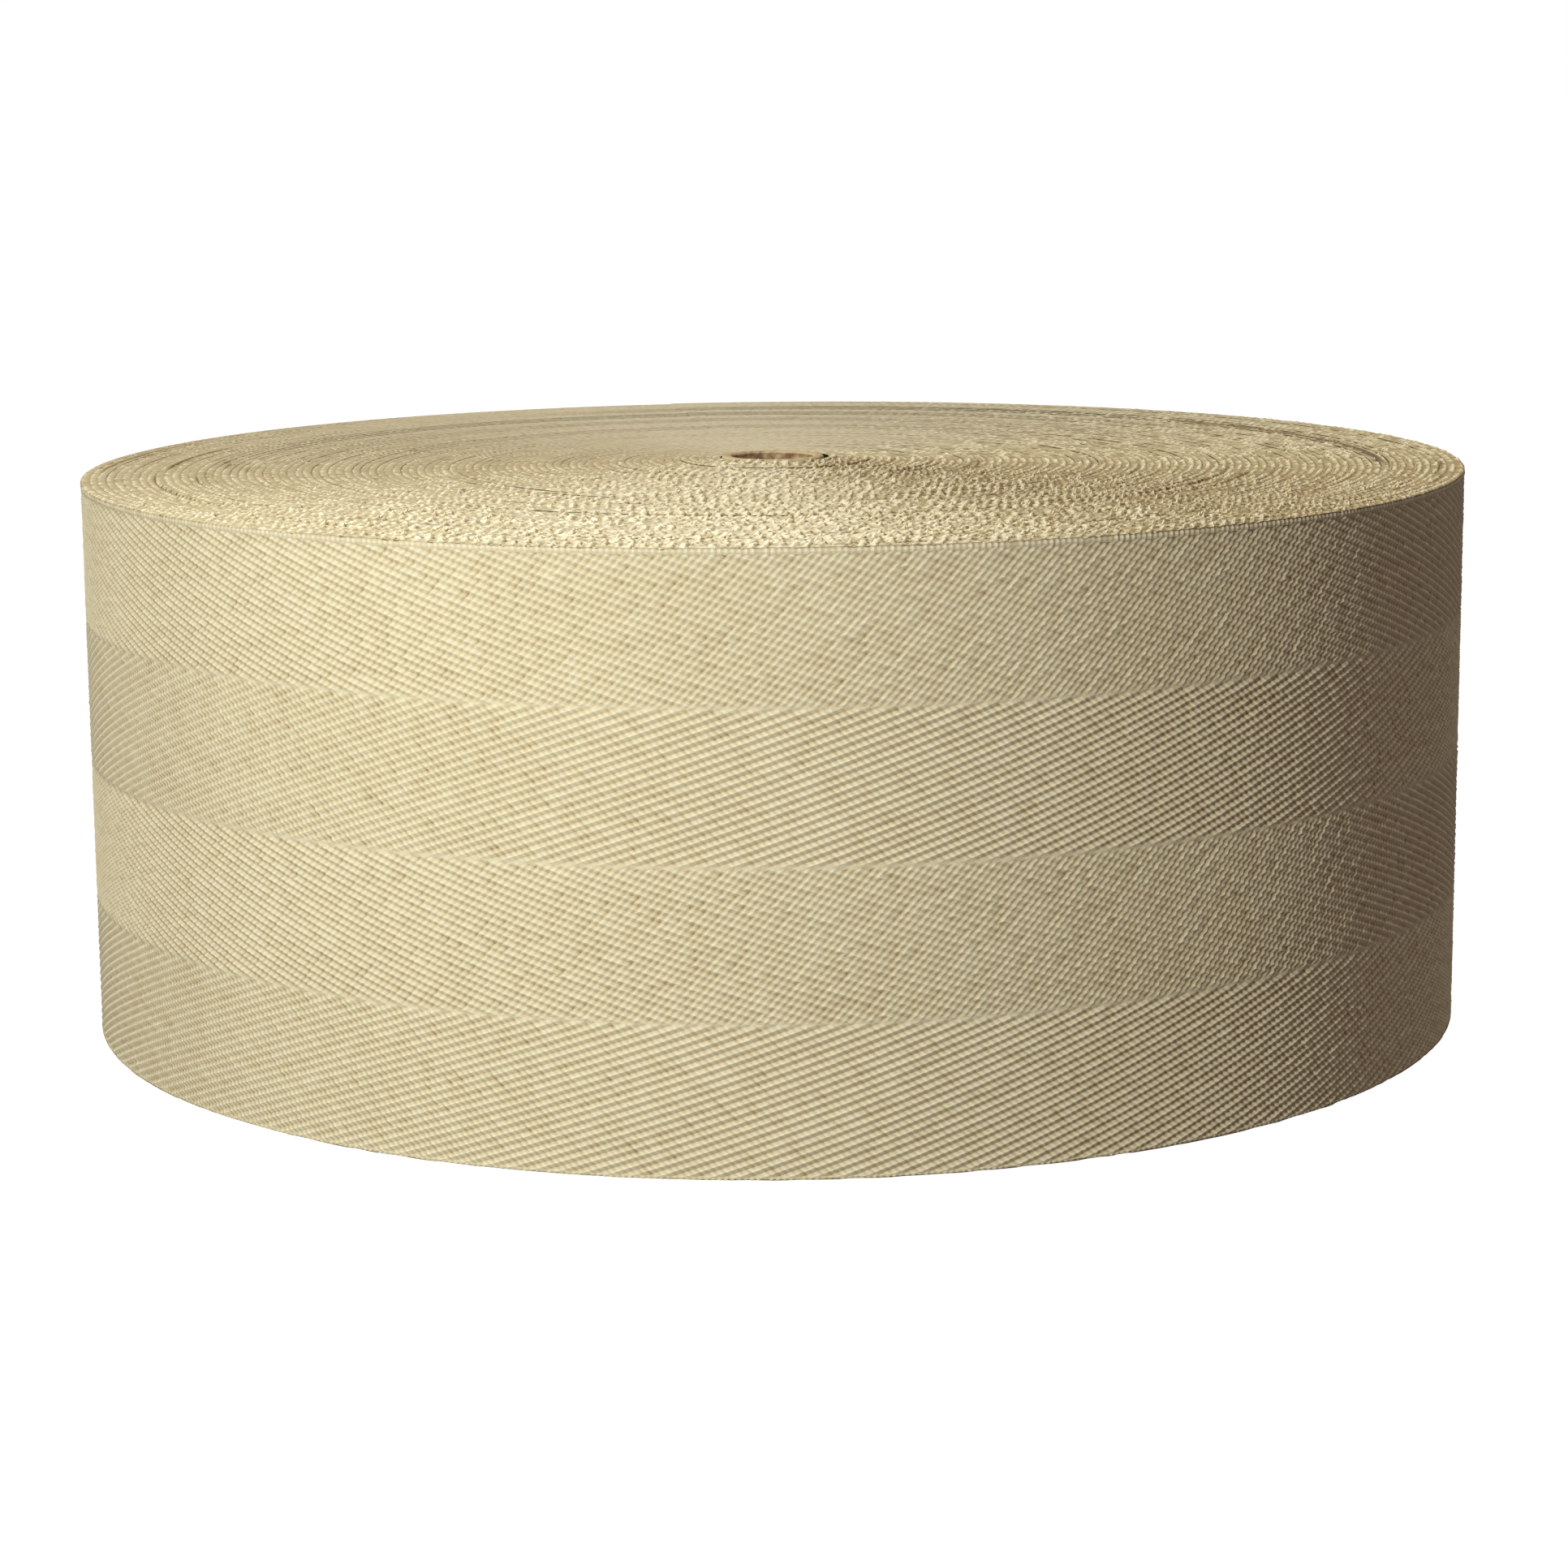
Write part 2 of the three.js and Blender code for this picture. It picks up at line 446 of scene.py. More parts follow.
def weave_height(along, up, lean, seed):
    """Height in millimetres, and a tone from 0 in a groove to 1 on a crest that paints shade and
    light, at points of a stripe rising right.
    """
    rib = (along - lean * up) / RIB_STEP - up / RIB_RISE
    thread = RIB_THREADS * up / RIB_RISE
    across = np.mod(rib, 1)
    ridge = 1 - np.abs(2 * across - 1) ** 3
    beat = thread + OVAL_SLANT * (across - 0.5)
    oval = 0.5 + 0.5 * np.cos(2 * math.pi * beat)
    whole_rib = np.floor(rib)
    bump = unevenness(np.round(beat) + RIB_THREADS * whole_rib + seed, whole_rib + 3 * seed)
    height = RIB_DEPTH * ridge + OVAL_DEPTH * oval + BUMP_DEPTH * bump
    # Painted shade in the grooves and painted light on the ridges, ovals and crests; the bump is each
    # thread's own tone.
    tone_with_painted_shading = GROOVE_PAINTED_SHADE + RIDGE_PAINTED_LIGHT * ridge + OVAL_PAINTED_LIGHT * oval
    tone_with_painted_shading = tone_with_painted_shading + CREST_PAINTED_HIGHLIGHT * ridge * oval + BUMP_TONE * bump
    from_seam = np.clip(np.minimum(up, STRIPE_HEIGHT - up) / SEAM_WIDTH, 0, 1)
    middle = (RIB_DEPTH + OVAL_DEPTH) / 2
    return middle + (height - middle) * from_seam, SEAM_TONE + (tone_with_painted_shading - SEAM_TONE) * from_seam


# %% [markdown]
# Wound round the roll, a point's distance along the tape becomes an angle and its height above the
# cloth a radius. The last turn is a spiral, one thickness further out at its end than at its start.
# The outer turns stand a little proud of the others, more to one side than to the other, which a lift
# and a sway in millimetres say for either rim.

# %% Wrap flat cloth round the roll
PROUD_TOWARDS = 50.0
TOP_PROUD = (0.16, 0.26)
BOTTOM_PROUD = (0.2, 0.2)


def wall_radius(angle, turns_in):
    """Radius of the outside of the tape, turns_in turns in from its cut end."""
    spiral = OUTER_RADIUS - TURN_PITCH * turns_in
    turn = np.radians(angle)
    return spiral - drift * spiral / OUTER_RADIUS * (np.cos(turn) + np.sin(turn))


def proud_lift(angle, lift, sway):
    """How far the outer turns are pushed along the roll's axis."""
    return lift + sway * np.cos(np.radians(angle - PROUD_TOWARDS))


def in_metres(angle, radius, level):
    """Points from an angle in degrees and a radius and a level in millimetres."""
    turn = np.radians(angle)
    return np.stack((radius * np.cos(turn), radius * np.sin(turn), level), 1) * MM


def wrap(along, up, height):
    """Points in metres of the last turn, from millimetres along and up the flat tape."""
    share = along / LAST_TURN
    angle = END_ANGLE + 360 * share
    radius = wall_radius(angle, 1 - share) + height
    bottom = proud_lift(angle, *BOTTOM_PROUD)
    top = proud_lift(angle, *TOP_PROUD)
    level = up + bottom + (top - bottom) * up / TAPE_WIDTH
    return in_metres(angle, radius, level)


# %% [markdown]
# Every piece of the tape gets two maps. The first holds millimetres along and across the tape, for
# the finish. A turn is far longer than it is high, so the second one folds it into rows that fill a
# square, which is the shape that a baked picture needs.


# %% Read and write the points of a mesh and add its maps
def read_points(mesh):
    """The points of a mesh, one row each."""
    points = np.empty(len(mesh.vertices) * 3, np.float32)
    mesh.vertices.foreach_get("co", points)
    return points.reshape(-1, 3).astype(float)


def write_points(mesh, points):
    """Moves the points of a mesh, and leaves its faces flat, so that each thread stays crisp."""
    mesh.vertices.foreach_set("co", points.astype(np.float32).ravel())
    mesh.polygons.foreach_set("use_smooth", np.full(len(mesh.polygons), False))
    mesh.update()


def corner_values(mesh, values):
    """A value for each face corner from one for each vertex."""
    corners = np.empty(len(mesh.loops), np.int32)
    mesh.loops.foreach_get("vertex_index", corners)
    return values[corners]


def add_map(mesh, name, corners):
    """A UV map from a place for each face corner."""
    layer = mesh.uv_layers.new(name=name)
    layer.uv.foreach_set("vector", corners.astype(np.float32).ravel())


def add_share(mesh, name, values):
    """A number from 0 to 1 on each vertex, for the finish to read."""
    layer = mesh.attributes.new(name, "FLOAT", "POINT")
    layer.data.foreach_set("value", np.clip(values, 0, 1).astype(np.float32))


BAKE_MAP = "OFBake"
MARGIN_ALONG = 0.01
MARGIN_ACROSS = 0.04


def add_maps(mesh, along, up, length, height):
    """The tape map in millimetres, and a second one folded into rows that fill a square."""
    add_map(mesh, TAPE_MAP, corner_values(mesh, np.stack((along, up), 1)))
    rows = max(1, round(math.sqrt(length / height)))
    first = np.empty(len(mesh.polygons), np.int32)
    total = np.empty(len(mesh.polygons), np.int32)
    mesh.polygons.foreach_get("loop_start", first)
    mesh.polygons.foreach_get("loop_total", total)
    at = corner_values(mesh, along) / length * rows
    row = np.repeat(np.clip(np.floor(at[first]), 0, rows - 1), total)
    across = corner_values(mesh, up) / height
    u = MARGIN_ALONG + (1 - 2 * MARGIN_ALONG) * (at - row)
    v = (row + MARGIN_ACROSS + (1 - 2 * MARGIN_ACROSS) * across) / rows
    add_map(mesh, BAKE_MAP, np.stack((u, v), 1))


def add_piece(name, mesh, material, node):
    """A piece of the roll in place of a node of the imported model."""
    piece = bpy.data.objects.new(name, mesh)
    bpy.context.scene.collection.objects.link(piece)
    mesh.materials.append(material)
    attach(piece, "root")
    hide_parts(node)
    triangles = sum(len(polygon.vertices) - 2 for polygon in mesh.polygons)
    print(name, "has", triangles, "triangles")


# %% [markdown]
# Cotton scatters light softly and shines very little. The tone with painted shading tells the finish
# how deep a point lies, and the ramp turns that into colour: painted shade, brown, in the grooves and
# painted light, cream, on the crests. Fine slanted fuzz, and large faint patches of wear, keep it
# from looking printed.

# %% Weave the four stripes of the last turn in their finish
FUZZ_TURN = math.radians(40)
FUZZ_SCALE = (1.6, 9.0, 1)
FUZZ_SHARE = 0.35
FUZZ_HEIGHT = 0.00006
WORN_SCALE = (0.06, 0.06, 1)
WORN_SHARE = 0.2
COTTON_ROUGHNESS = 0.62
COTTON_SPECULAR = 0.35


def tape_finish(name, stops):
    """Cotton, with colours at places from the bottom of a groove, 0, to a crest, 1, painting shade
    and light.
    """
    finish = Finish(name)
    tone_with_painted_shading = finish.attribute("tone_with_painted_shading")
    worn = finish.noise(finish.place(scale=WORN_SCALE), 1.0, detail=3.0)
    fuzz = finish.noise(finish.place(FUZZ_TURN, FUZZ_SCALE), 1.0, detail=4.0, roughness=0.65)
    shade = tone_with_painted_shading + (fuzz - 0.5) * FUZZ_SHARE + (worn - 0.5) * WORN_SHARE
    inputs = {"Roughness": COTTON_ROUGHNESS, "Specular IOR Level": COTTON_SPECULAR}
    inputs["Base Color"] = finish.ramp(shade, stops)
    inputs["Normal"] = finish.bump(fuzz, 0.5, FUZZ_HEIGHT)
    return finish.surface(inputs)


# The brown end is painted shade for the grooves, and the cream end painted light for the crests.
WOVEN_COLOURS = [
    (0.0, (0.27, 0.19, 0.09)),
    (0.25, (0.55, 0.46, 0.26)),
    (0.6, (0.68, 0.625, 0.40)),
    (1.0, (0.78, 0.745, 0.53)),
]
STRIPE_SEED = 5
NEXT_SEED = 11
woven = tape_finish("woven_tape", WOVEN_COLOURS)
for number, mesh in enumerate(flat_stripes):
    flat = read_points(mesh)
    bottom = number * STRIPE_HEIGHT
    rises_right = number % 2 == 0
    pattern = flat[:, 0] + shifts[number]
    seed = STRIPE_SEED + NEXT_SEED * number
    height, tone_with_painted_shading = weave_height(pattern, flat[:, 1], leans[number], seed)
    up = bottom + (flat[:, 1] if rises_right else STRIPE_HEIGHT - flat[:, 1])
    if not rises_right:
        mesh.flip_normals()
    write_points(mesh, wrap(flat[:, 0], up, height - RIB_DEPTH - OVAL_DEPTH / 2))
    add_maps(mesh, flat[:, 0], flat[:, 1], LAST_TURN, STRIPE_HEIGHT)
    add_share(mesh, "tone_with_painted_shading", tone_with_painted_shading)
    add_piece(f"herringbone_stripe_{number + 1}", mesh, woven, "wound_tape")

# %% [markdown]
# Seen from above, the roll is the upper edge of the tape, wound seventy-nine times. Each turn is a
# low ridge with a groove on its outer side. Every four picks the weft loops out at the tape's outer
# face, and that motif is a bead or two with a painted highlight, pits beside them and a dash in the
# groove, and pits and dash are darkened with painted shade. Three short lists say how strong these
# are in each of the eight rows of a motif.
#
# Hand winding leaves some turns proud of the others, and the turns next to the tube have crept up the
# most. A row of a group list says how far out the group reaches, as a share of the radius, then its
# lift in millimetres, its sway, and the side that sways up. A few long grooves stand open, and each
# has its share of the radius, the angles where it starts and ends, and its depth.

# %% Sizes of the edge of the turns
TURNS = 79
MOTIF = 2.13
MOTIF_GROUP = 6
MOTIFS_LOST = 3
FEWEST_MOTIFS = 8
# Beads carry a painted highlight, and dips and dashes carry painted shade as well as their depth.
BEAD_ROWS = (1.0, 0.1, 0.0, 0.6, 1.0, 0.0, 0.1, 0.6)
DIP_ROWS = (0.0, 1.0, 0.9, 0.0, 0.0, 0.8, 0.6, 0.0)
DASH_ROWS = (1.0, 1.0, 0.3, 0.0, 0.5, 0.6, 0.2, 0.0)
MOTIF_ROWS = len(BEAD_ROWS)
FRONT = 270.0
PROUD_SHARE = 0.884
TOP_GROUPS = [
    (0.115, 0.62, 0.0, 0),
    (0.17, 0.46, 0.03, 200),
    (0.25, 0.30, 0.03, 140),
    (0.36, 0.16, 0.04, 100),
    (0.48, 0.04, 0.05, 300),
    (0.60, -0.03, 0.04, 90),
    (0.71, 0.03, 0.04, 90),
    (0.80, 0.04, 0.10, 90),
    (PROUD_SHARE, 0.09, 0.16, 90),
    (1.05, *TOP_PROUD, PROUD_TOWARDS),
]
BOTTOM_GROUPS = [
    (0.115, 0.50, 0.0, 0),
    (0.17, 0.34, 0.0, 0),
    (0.25, 0.16, 0.0, 0),
    (PROUD_SHARE, 0.0, 0.0, 0),
    (1.05, *BOTTOM_PROUD, PROUD_TOWARDS),
]
OPEN_GROOVES = [
    (0.885, -8, 47, 0.9),
    (0.875, 158, 184, 0.6),
    (0.885, 184, 216, 0.5),
    (0.972, 154, 186, 0.5),
    (0.920, 163, 184, 0.4),
    (0.830, 187, 202, 0.5),
    (0.800, 170, 184, 0.5),
    (0.760, 176, 188, 0.4),
    (0.700, 316, 348, 0.5),
    (0.660, 312, 340, 0.5),
    (0.960, 345, 359, 0.6),
    (0.300, 330, 370, 0.4),
]


def motifs_in_turn(turn):
    """How many loops show along one turn, fewer for the turns further in."""
    middle = MOTIF_GROUP * (turn // MOTIF_GROUP) + MOTIF_GROUP / 2
    radius = OUTER_RADIUS - TURN_PITCH * middle
    return max(FEWEST_MOTIFS, round(2 * math.pi * radius / MOTIF - MOTIFS_LOST * (turn - middle)))


def edge_rows(first_turn, last_turn, rows):
    """Turn number and share of its turn, run backwards from the cut end, for every row."""
    turns, shares = [], []
    for turn in range(first_turn, last_turn):
        motifs = motifs_in_turn(turn)
        beats = np.add.outer(np.arange(motifs), rows).ravel()
        turns.append(np.full(len(beats), turn))
        shares.append(1 - beats / motifs)
    turns.append(np.array([last_turn - 1]))
    shares.append(np.array([0.0]))
    return np.concatenate(turns), np.concatenate(shares)


print("the outermost turn shows", motifs_in_turn(0), "loops")

# %% [markdown]
# The turns lie flat and tight at the back and looser towards the front. The looseness at an angle
# therefore sets how deep the grooves are and how far the loops stand out. Slow waves, each a sum of
# three sines with seeded phases, keep a turn from being a perfect ring.

# %% Work out how the turns lie
LOOSE_TOWARDS = 20.0
TIGHTEST = 0.03
GROOVE = 0.11
GROOVE_SWELL = 0.2
SWELL_FROM = 0.25
GROOVE_END = 5.0
LIFT_SPREAD = 0.03
WAVE_LIFT = 0.03
WAVES = random.uniform(0, 2 * math.pi, (TURNS + 2, 6))
TURN_LIFT = random.normal(0, LIFT_SPREAD, TURNS + 2)


def group_lift(groups, turn, angle):
    """How far the edge of a turn stands out from the flat, as a mean over its neighbours."""
    table = np.array(groups)
    lift = np.zeros_like(angle)
    steps = (-1.5, -0.5, 0.5, 1.5)
    for step in steps:
        middle = (OUTER_RADIUS - TURN_PITCH * (turn + 1 + step)) / OUTER_RADIUS
        row = np.searchsorted(table[:, 0], middle)
        lift += table[row, 1] + table[row, 2] * np.cos(np.radians(angle - table[row, 3]))
    return lift / len(steps)


def slow_wave(turn, angle, first):
    """A smooth uneven curve round each turn, between about -1 and 1."""
    at = np.radians(angle)
    phase = WAVES[turn]
    low = np.sin(2 * at + phase[..., first])
    middle = np.sin(5 * at + phase[..., first + 1])
    high = np.sin(11 * at + phase[..., first + 2])
    return (low + middle + high) / 2


def looseness(angle):
    """How loosely the turns lie at an angle: near 0 at the back and 1 at the front."""
    return TIGHTEST + 0.5 * (1 + np.cos(np.radians(angle - FRONT - LOOSE_TOWARDS)))


def groove_depth(border, angle):
    """Depth of the groove on the outer side of a turn: about even, with a few open stretches."""
    depth = GROOVE + GROOVE_SWELL * np.clip(slow_wave(border, angle, 3) - SWELL_FROM, 0, 1)
    depth = depth * looseness(angle)
    radius = (OUTER_RADIUS - TURN_PITCH * (border + 1 - share_of_turn(angle))) / OUTER_RADIUS
    for share, start, end, extra in OPEN_GROOVES:
        from_start = np.mod(angle - start, 360)
        inside = np.clip(np.minimum(from_start, end - start - from_start) / GROOVE_END, 0, 1)
        near = np.abs(radius - share) < TURN_PITCH / OUTER_RADIUS / 2
        depth = depth + extra * inside * near
    return depth


print("a turn is lifted by up to", round(float(np.abs(TURN_LIFT).max()), 3), "mm")

# %% [markdown]
# No two loops of a hand-wound roll look alike. Each motif is rougher or smoother than the last, each
# row has a grain of its own, and small clumps of fluff span two turns. All of them come from the
# seeded table, looked up by whole numbers that count motifs, rows and clumps.

# %% Work out the loops along a turn
ROW_SLIP = 0.9
SLIP_SEED = 77
TURN_SHIFT = 3
GRAIN_SEED = 90
CLUMP = 0.5
CLUMP_SEED = 40
ROUGH_SPREAD = 0.7
ROUGHEST = 2.6


def loops_along(turn, share):
    """Bead, dip and dash at places along a turn, how rough the motif is, and a fine grain."""
    motifs = np.array([motifs_in_turn(each) for each in range(TURNS + 1)])[turn]
    slip = np.round(ROW_SLIP * unevenness(turn, SLIP_SEED))
    step = np.round(MOTIF_ROWS * motifs * share) + TURN_SHIFT * turn + slip
    row = np.mod(step, MOTIF_ROWS).astype(int)
    count = np.floor(step / MOTIF_ROWS)
    rough = np.clip(1 + ROUGH_SPREAD * unevenness(count, turn), 0, ROUGHEST)
    grain = unevenness(step, turn + GRAIN_SEED)
    bead = np.array(BEAD_ROWS)[row] * np.clip(1 + 0.4 * grain, 0.2, 2)
    dip = np.array(DIP_ROWS)[row] * np.clip(1 - 0.7 * grain, 0, 2.2)
    dash = np.array(DASH_ROWS)[row] * np.minimum(rough, 1.5)
    return bead, dip, dash, rough, grain


def clumps_along(turn, share):
    """Clumps of fluff, each about as long as a pick and two turns wide."""
    pair = turn // 2
    cells = np.round(2 * math.pi * (OUTER_RADIUS - TURN_PITCH * (2 * pair + 1)) / CLUMP)
    return unevenness(share * cells, pair + CLUMP_SEED)


# %% [markdown]
# Across its thickness an edge has four points: its inner and outer ones lie down in the grooves, and
# the two between them carry the loops. Height alone can't give the photograph's tones at this size,
# so part of the light and shade is painted into the colour: pits, dashes and deep grooves are
# darker than they are deep, which is painted shade, the beads carry a painted highlight, and the
# whole edge is painted a little lighter at the front and at the tight back and darker to the right.

# %% Work out the shape and the tone of the edge
OUTWARD_TILT = 0.03
INNER_SHARE = 0.2
LOOP = 0.13
SLIT = 0.1
GRAIN_HEIGHT = 0.02
CLUMP_HEIGHT = 0.04
# Painted light at the front and at the tight back, painted shade to the right, in dashes and deep
# grooves, and a painted highlight on the beads. Grain and clumps are the cloth's own tone.
EDGE_TONE = 0.66
FRONT_PAINTED_LIGHT = 0.2
TIGHT_BACK_PAINTED_LIGHT = 0.08
RIGHT_SHADE = 0.18
FRONT_RIGHT_SHADE = 0.36
SIDE_SHADE = 0.06
DASH_PAINTED_SHADE = 0.7
BEAD_PAINTED_HIGHLIGHT = 0.3
GRAIN_TONE = 0.06
CLUMP_TONE = 0.15
INNER_GROOVE_PAINTED_SHADE = 4.0
INNER_FROM = 0.06
OUTER_GROOVE_PAINTED_SHADE = 1.5
OUTER_FROM = 0.15
THREAD_SLANT = 0.25
FAINTEST = 0.2
STRENGTH = 0.9


def painted_side_light(angle):
    """Painted light where the edge lies towards the camera, and painted shade to the right."""
    turned = np.radians(angle - FRONT)
    right = np.sin(turned)
    towards = np.cos(turned)
    shade = right.clip(0) * (RIGHT_SHADE + FRONT_RIGHT_SHADE * towards.clip(0))
    return FRONT_PAINTED_LIGHT * towards ** 2 - (shade - SIDE_SHADE * right)


def edge_shape(turn, share, across):
    """Shape of the edge at places across a turn, where 0 is its inner and 1 its outer face."""
    angle = END_ANGLE + 360 * share
    loose = looseness(angle)
    strength = FAINTEST + STRENGTH * loose
    bead, dip, dash, rough, grain = loops_along(turn, share)
    dash = dash * strength
    clump = clumps_along(turn, share)
    inner = INNER_SHARE * groove_depth(turn + 1, angle)
    outer = (0.3 + 0.7 * dash) * groove_depth(turn, angle)
    inside = across < 0
    outside = across > 1
    front = (across > 0.5) & ~outside
    back = (across < 0.5) & ~inside
    slit = dip * front * np.clip(1.3 * rough - 0.5, 0, 2) * strength ** 2

    rise = OUTWARD_TILT * (0.5 - across) * loose - inner * inside - outer * outside
    rise = rise - SLIT * slit * loose
    rise = rise + (bead - dip) * LOOP * (0.4 + 0.6 * rough) * loose * (front - 0.25 * back)
    rise = rise + (GRAIN_HEIGHT * grain + CLUMP_HEIGHT * clump) * loose * front
    wave = WAVE_LIFT * slow_wave(turn, angle, 0)
    rise = rise + (TURN_LIFT[turn] + wave) * np.minimum(loose, 1)

    # The colour paints light at the front and the tight back, shade to the right and in dashes, slits
    # and deep grooves, and a highlight on the beads; grain and clumps are the cloth's own tone.
    tone_with_painted_shading = EDGE_TONE + painted_side_light(angle) + TIGHT_BACK_PAINTED_LIGHT * (1 - loose)
    tone_with_painted_shading = tone_with_painted_shading - DASH_PAINTED_SHADE * dash * outside - slit
    tone_with_painted_shading = tone_with_painted_shading + BEAD_PAINTED_HIGHLIGHT * rough * bead * front * strength
    tone_with_painted_shading = tone_with_painted_shading + GRAIN_TONE * grain * (front + back)
    tone_with_painted_shading = tone_with_painted_shading + CLUMP_TONE * clump * strength * (front + outside)
    tone_with_painted_shading = tone_with_painted_shading - INNER_GROOVE_PAINTED_SHADE * (inner - INNER_FROM).clip(0) * (inside + back)
    tone_with_painted_shading = tone_with_painted_shading - OUTER_GROOVE_PAINTED_SHADE * (outer - OUTER_FROM).clip(0) * (outside + front)

    radius = wall_radius(angle, turn + 1 - share + 1 - across)
    slant = THREAD_SLANT * np.sin(np.radians(angle - FRONT)) * (0.6 - across)
    return angle + np.degrees(slant / radius), radius, rise, tone_with_painted_shading


# %% [markdown]
# Each edge is one long grid, four points wide, that is bent into the spiral. Its rows are placed by
# motif, eight to each, so that every bead, pit and dash has a row of its own. The upper edge is cut
# into three pieces, which keeps each under a size that is handy to export. The lower edge rests on
# the floor, so three points and two rows a motif are enough.


# %% Wind the upper and the lower edge of the turns
def plain_grid(columns, rows, name):
    """A flat square grid as a mesh, one unit wide about the origin."""
    bm = bmesh.new()
    bmesh.ops.create_grid(bm, x_segments=columns, y_segments=rows, size=0.5)
    return mesh_from(bm, name)


def wind_edge(name, turns, beats, places, groups, facing):
    """Some turns of the wound edge, with its points at given places across the tape's thickness.

    Facing is 1 for the upper face of the roll and -1 for the lower one.
    """
    turn_rows, share_rows = edge_rows(*turns, beats)
    rows = len(turn_rows)
    mesh = plain_grid(len(places) - 1, rows - 1, name)
    grid = read_points(mesh) + 0.5
    across = np.interp(grid[:, 0], np.linspace(0, 1, len(places)), places)
    row = np.round(grid[:, 1] * (rows - 1)).astype(int)
    turn, share = turn_rows[row], share_rows[row]
    angle, radius, rise, tone_with_painted_shading = edge_shape(turn, share, across)
    lift = group_lift(groups, turn, angle)
    level = TAPE_WIDTH + lift + rise if facing > 0 else np.maximum(lift - rise, 0)
    if facing > 0:
        mesh.flip_normals()
    write_points(mesh, in_metres(angle, radius, level))
    one_turn = 2 * math.pi * (OUTER_RADIUS - TURN_PITCH * (turn_rows[1:] + 0.5))
    steps = np.mod(share_rows[:-1] - share_rows[1:], 1) * one_turn
    along = np.concatenate(([0], np.cumsum(steps)))
    add_maps(mesh, along[row], across * TURN_PITCH, along[-1], TURN_PITCH)
    add_share(mesh, "tone_with_painted_shading", tone_with_painted_shading)
    add_piece(name, mesh, edge_of_turns, "wound_tape")


# Its dark end is painted shade for slits and deep grooves, and its light end is painted light.
EDGE_COLOURS = [
    (0.0, (0.11, 0.065, 0.03)),
    (0.3, (0.36, 0.26, 0.13)),
    (0.6, (0.60, 0.52, 0.30)),
    (1.0, (0.90, 0.86, 0.64)),
]
edge_of_turns = tape_finish("edge_of_turns", EDGE_COLOURS)
FINE = (-0.03, 0.2, 0.7, 1.03)
COARSE = (-0.03, 0.55, 1.03)
FINE_BEATS = np.arange(0, 1, 1 / MOTIF_ROWS)
COARSE_BEATS = (0.0, 0.5)
wind_edge("upper_edge_outer_turns", (0, 15), FINE_BEATS, FINE, TOP_GROUPS, 1)
wind_edge("upper_edge_middle_turns", (15, 34), FINE_BEATS, FINE, TOP_GROUPS, 1)
wind_edge("upper_edge_inner_turns", (34, TURNS), FINE_BEATS, FINE, TOP_GROUPS, 1)
wind_edge("lower_edge_of_turns", (0, TURNS), COARSE_BEATS, COARSE, BOTTOM_GROUPS, -1)

# %% [markdown]
# Along both sides of the tape runs the selvedge, a narrow plain band where the weft turns back. It
# has no ribs, only a small bead for each pick. On the last turn it shows as a smooth rounded rim, so
# the rim is a grid bent round a short profile of steps outwards and upwards, in millimetres.

# %% Round off the rims with the selvedge
BEAD = 0.055
BEAD_SPREAD = 0.3
BEAD_SEED = 3
RIM_TONE = 0.45
RIM_BEAD_PAINTED_LIGHT = 0.45
UPPER_RIM = [
    (-0.34, 0.0),
    (-0.16, -0.04),
    (-0.04, -0.16),
    (0.0, -0.36),
    (-0.04, -0.56),
    (-0.3, -0.62),
]
LOWER_RIM = [
    (-0.5, 0.05),
    (-0.22, 0.0),
    (-0.08, 0.08),
    (-0.06, 0.2),
    (-0.3, 0.3),
]


def selvedge(name, profile, level, proud, facing):
    """A rounded rim round the last turn, at a level. Facing is 1 for the upper rim, else -1."""
    rows = 2 * round(LAST_TURN / PICK)
    mesh = plain_grid(len(profile) - 1, rows, name)
    grid = read_points(mesh) + 0.5
    column = np.round(grid[:, 0] * (len(profile) - 1)).astype(int)
    row = np.round(grid[:, 1] * rows).astype(int)
    steps = np.array(profile)[column]
    share = row / rows
    angle = END_ANGLE + 360 * share
    bead = BEAD * (row % 2) * (1 + BEAD_SPREAD * unevenness(row // 2, BEAD_SEED))
    middle = np.sin(math.pi * grid[:, 0])
    radius = wall_radius(angle, 1 - share) + steps[:, 0] + bead * middle
    height = level + proud_lift(angle, *proud) + steps[:, 1]
    height = np.maximum(height + 0.5 * facing * bead * middle, 0)
    write_points(mesh, in_metres(angle, radius, height))
    if facing < 0:
        mesh.flip_normals()
    pieces = np.hypot(*np.diff(np.array(profile), axis=0).T)
    length = np.concatenate(([0], np.cumsum(pieces)))
    add_maps(mesh, share * LAST_TURN, length[column], LAST_TURN, length[-1])
    # Painted light on top of each bead of the rim, and painted shade between them.
    add_share(mesh, "tone_with_painted_shading", RIM_TONE + RIM_BEAD_PAINTED_LIGHT * bead * middle / BEAD)
    add_piece(name, mesh, edging, "wound_tape")


SELVEDGE_COLOURS = [
    (0.0, (0.42, 0.34, 0.19)),
    (0.4, (0.60, 0.53, 0.32)),
    (1.0, (0.79, 0.745, 0.52)),
]
edging = tape_finish("selvedge", SELVEDGE_COLOURS)
selvedge("upper_selvedge", UPPER_RIM, TAPE_WIDTH, TOP_PROUD, 1)
selvedge("lower_selvedge", LOWER_RIM, 0.0, BOTTOM_PROUD, -1)

# %% [markdown]
# The tape ends at the back of the roll. Its cut end is a step as high as the tape is thick, so a
# narrow strip of cloth closes it. It bulges a little, unevenly, where the cut threads spread.

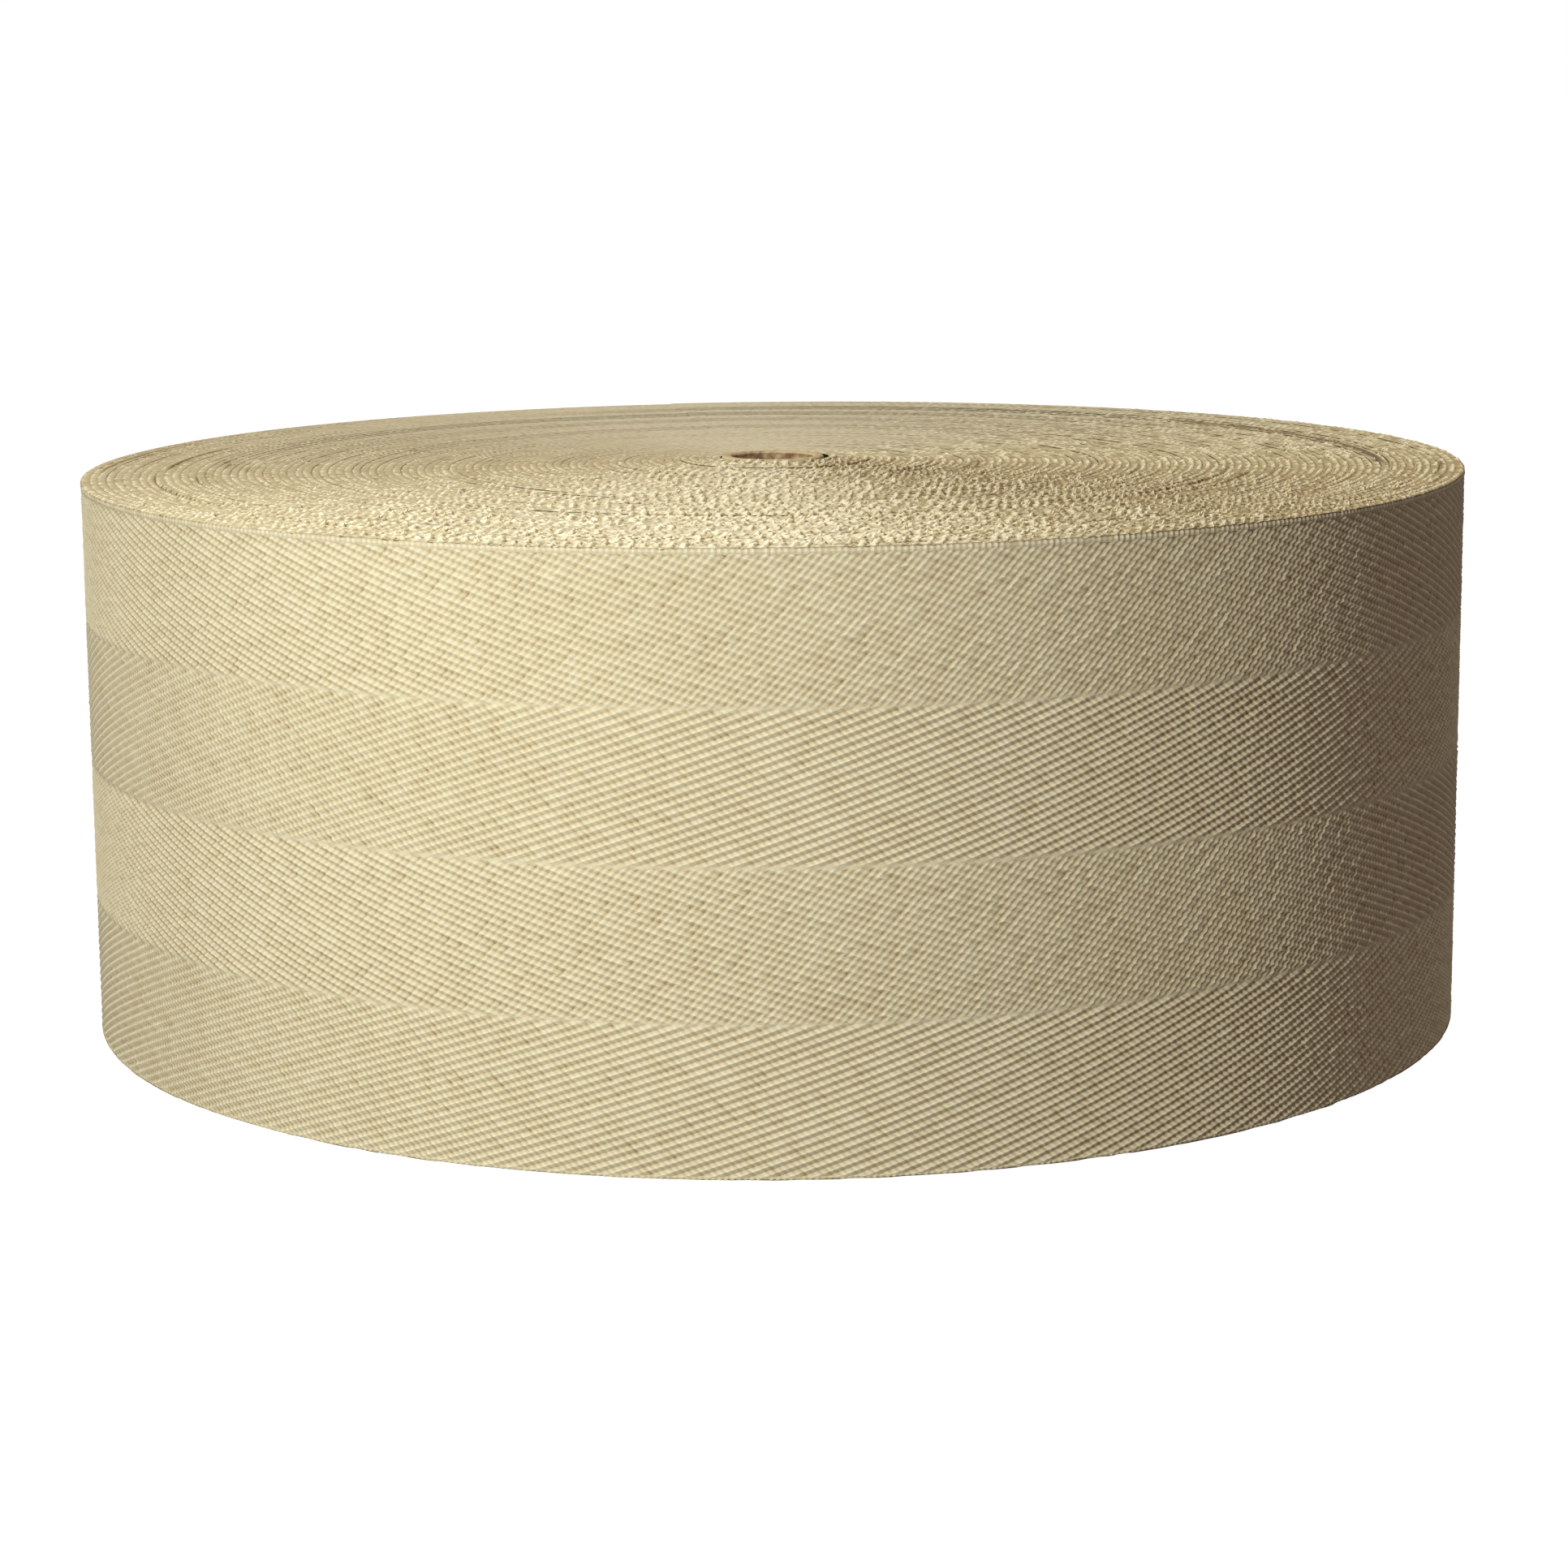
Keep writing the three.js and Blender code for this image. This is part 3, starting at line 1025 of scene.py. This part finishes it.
# %% Close the cut end
CUT_ROWS = 68
CUT_START = 0.25
CUT_BULGE = 0.1
CUT_SPREAD = 0.4
CUT_SEED = 9
CUT_MARGIN = 0.01
CUT_PROUD = (0.16, 0.2)
CUT_TONE = 0.4
BULGE_PAINTED_LIGHT = 3.0
cut_mesh = plain_grid(2, CUT_ROWS, "cut_end")
cut_grid = read_points(cut_mesh) + 0.5
cut_up = cut_grid[:, 1]
cut_depth = CUT_START + TURN_PITCH * cut_grid[:, 0]
cut_threads = 1 + CUT_SPREAD * unevenness(cut_up * CUT_ROWS, CUT_SEED)
cut_bulge = CUT_BULGE * np.sin(math.pi * cut_grid[:, 0]) * cut_threads
cut_radius = wall_radius(END_ANGLE, 0.0) - cut_depth
cut_angle = END_ANGLE + np.degrees(cut_bulge / cut_radius)
cut_level = TAPE_WIDTH * (CUT_MARGIN + (1 - 2 * CUT_MARGIN) * cut_up)
cut_level = cut_level + proud_lift(END_ANGLE, *CUT_PROUD)
write_points(cut_mesh, in_metres(cut_angle, cut_radius, cut_level))
add_maps(cut_mesh, cut_level, cut_depth, TAPE_WIDTH, TURN_PITCH)
# Painted light where the cut end bulges out.
add_share(cut_mesh, "tone_with_painted_shading", CUT_TONE + BULGE_PAINTED_LIGHT * cut_bulge)
add_piece("cut_end", cut_mesh, woven, "wound_tape")

# %% [markdown]
# The tube is wound from tan paper board. Both its rims are cut square and a little worn, so the wall
# is a plain cylinder given its thickness with solidify and then bevelled along all four rims. Its
# board is mottled on a scale of a millimetre and blotted more broadly, and darker down the bore.

# %% Make the paper tube
TUBE_WALL = 0.95
TUBE_BOTTOM = tube_low.z / MM
TUBE_TOP = tube_high.z / MM
TUBE_SIDES = 96
RIM_BEVEL = 0.22
TOUCH = 0.01


def tube_mesh():
    """The wall of the tube, open at both ends, with its four rims rounded."""
    bm = bmesh.new()
    length = TUBE_TOP - TUBE_BOTTOM
    bmesh.ops.create_cone(
        bm, segments=TUBE_SIDES, radius1=TUBE_RADIUS, radius2=TUBE_RADIUS, depth=length
    )
    bmesh.ops.solidify(bm, geom=bm.faces[:], thickness=TUBE_WALL)
    rims = []
    for edge in bm.edges:
        first, second = edge.verts
        at_end = abs(first.co.z) > length / 2 - TOUCH and abs(first.co.z - second.co.z) < TOUCH
        runs_round = abs(first.co.xy.length - second.co.xy.length) < 0.1 * TUBE_WALL
        if at_end and runs_round:
            rims.append(edge)
    bmesh.ops.bevel(
        bm, geom=rims, offset=RIM_BEVEL, segments=3, profile=0.5, affect="EDGES", material=-1
    )
    bmesh.ops.translate(bm, vec=(0, 0, (TUBE_TOP + TUBE_BOTTOM) / 2), verts=bm.verts)
    bmesh.ops.scale(bm, vec=(MM, MM, MM), verts=bm.verts)
    bmesh.ops.recalc_face_normals(bm, faces=bm.faces)
    for face in bm.faces:
        face.smooth = True
    return mesh_from(bm, "paper_tube")


tube = tube_mesh()
from_axis = np.hypot(*read_points(tube)[:, :2].T) / MM
print("the tube is", round(2 * from_axis.max(), 2), "and", round(2 * from_axis.min(), 2), "mm across")
in_bore = from_axis < TUBE_RADIUS - TUBE_WALL + 2 * TOUCH
add_share(tube, "inside", in_bore.astype(float))

MOTTLE_SCALE = 1400.0
BLOT_SCALE = 300.0
BORE_SHADE = 0.22
BOARD_ROUGHNESS = 0.85
PULP_HEIGHT = 0.0001
BOARD_COLOURS = [
    (0.28, (0.20, 0.12, 0.06)),
    (0.45, (0.42, 0.30, 0.15)),
    (0.62, (0.66, 0.54, 0.31)),
]
board = Finish("paper_board")
spots = board.node("ShaderNodeTexCoord").outputs["Object"]
mottle = board.noise(spots, MOTTLE_SCALE, detail=4.0, roughness=0.6)
blots = board.noise(spots, BLOT_SCALE)
shade = mottle * 0.8 + blots * 0.4 - board.attribute("inside") * BORE_SHADE
board_colour = board.ramp(shade, BOARD_COLOURS)
board_normal = board.bump(mottle, 0.35, PULP_HEIGHT)
board.surface({"Base Color": board_colour, "Roughness": BOARD_ROUGHNESS, "Normal": board_normal})
add_piece("paper_tube", tube, board.material, "core_tube")
